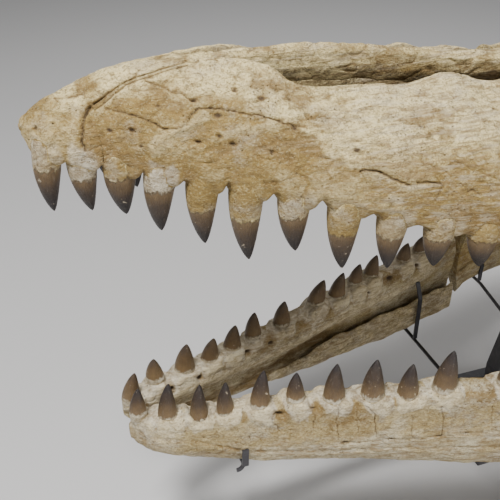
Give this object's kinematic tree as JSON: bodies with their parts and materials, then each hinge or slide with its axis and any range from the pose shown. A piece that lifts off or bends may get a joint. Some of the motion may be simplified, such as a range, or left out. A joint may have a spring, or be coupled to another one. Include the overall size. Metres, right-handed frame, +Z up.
{
  "type": "mosasaur skull museum mount",
  "caption": "Life-size fossil mosasaur skull with open jaws, its bones separate and its teeth in place, held on a black steel museum stand.",
  "frame": {"origin": "on the floor, at the bottom centre of the bounding box, below the middle of the mount", "axes": "+Z up; the snout points to -X; the animal's left side, which the picture shows, is at -Y; +X is the back of the skull"},
  "size_m": [1.35, 0.6238, 0.7869],
  "materials": {
    "cream_bone": "matte",
    "ochre_bone": "matte",
    "pale_bone": "matte",
    "black_steel": "satin"
  },
  "bodies": {
    "root": {"angular_left": "pale_bone", "angular_right": "pale_bone", "articular_left": "ochre_bone", "articular_right": "ochre_bone", "braincase": "cream_bone", "coronoid_left": "cream_bone", "coronoid_right": "cream_bone", "dentary_left": "pale_bone", "dentary_right": "pale_bone", "ectopterygoid_left": "ochre_bone", "ectopterygoid_right": "ochre_bone", "frontal": "cream_bone", "jugal_left": "ochre_bone", "jugal_right": "ochre_bone", "maxilla_left": "cream_bone", "maxilla_right": "cream_bone", "palatine_left": "ochre_bone", "palatine_right": "ochre_bone", "parietal": "ochre_bone", "postorbitofrontal_left": "cream_bone", "postorbitofrontal_right": "cream_bone", "prefrontal_left": "ochre_bone", "prefrontal_right": "ochre_bone", "premaxilla": "ochre_bone", "pterygoid_left": "ochre_bone", "pterygoid_right": "ochre_bone", "quadrate_left": "cream_bone", "quadrate_right": "cream_bone", "splenial_left": "cream_bone", "splenial_right": "cream_bone", "squamosal_left": "cream_bone", "squamosal_right": "cream_bone", "stand_arm_front": "black_steel", "stand_arm_rear": "black_steel", "stand_clip_left": "black_steel", "stand_clip_right": "black_steel", "stand_cross_front": "black_steel", "stand_cross_rear": "black_steel", "stand_foot_left": "black_steel", "stand_foot_right": "black_steel", "stand_hook_left": "black_steel", "stand_hook_right": "black_steel", "stand_palate_bar": "black_steel", "stand_post_front": "black_steel", "stand_post_rear": "black_steel", "stand_rod_1": "black_steel", "stand_rod_2": "black_steel", "stand_rod_3": "black_steel", "stand_rod_4": "black_steel", "stand_strap_left": "black_steel", "stand_strap_right": "black_steel", "supratemporal_left": "ochre_bone", "supratemporal_right": "ochre_bone", "surangular_left": "cream_bone", "surangular_right": "cream_bone", "vomer": "cream_bone"}
  },
  "joints": []
}
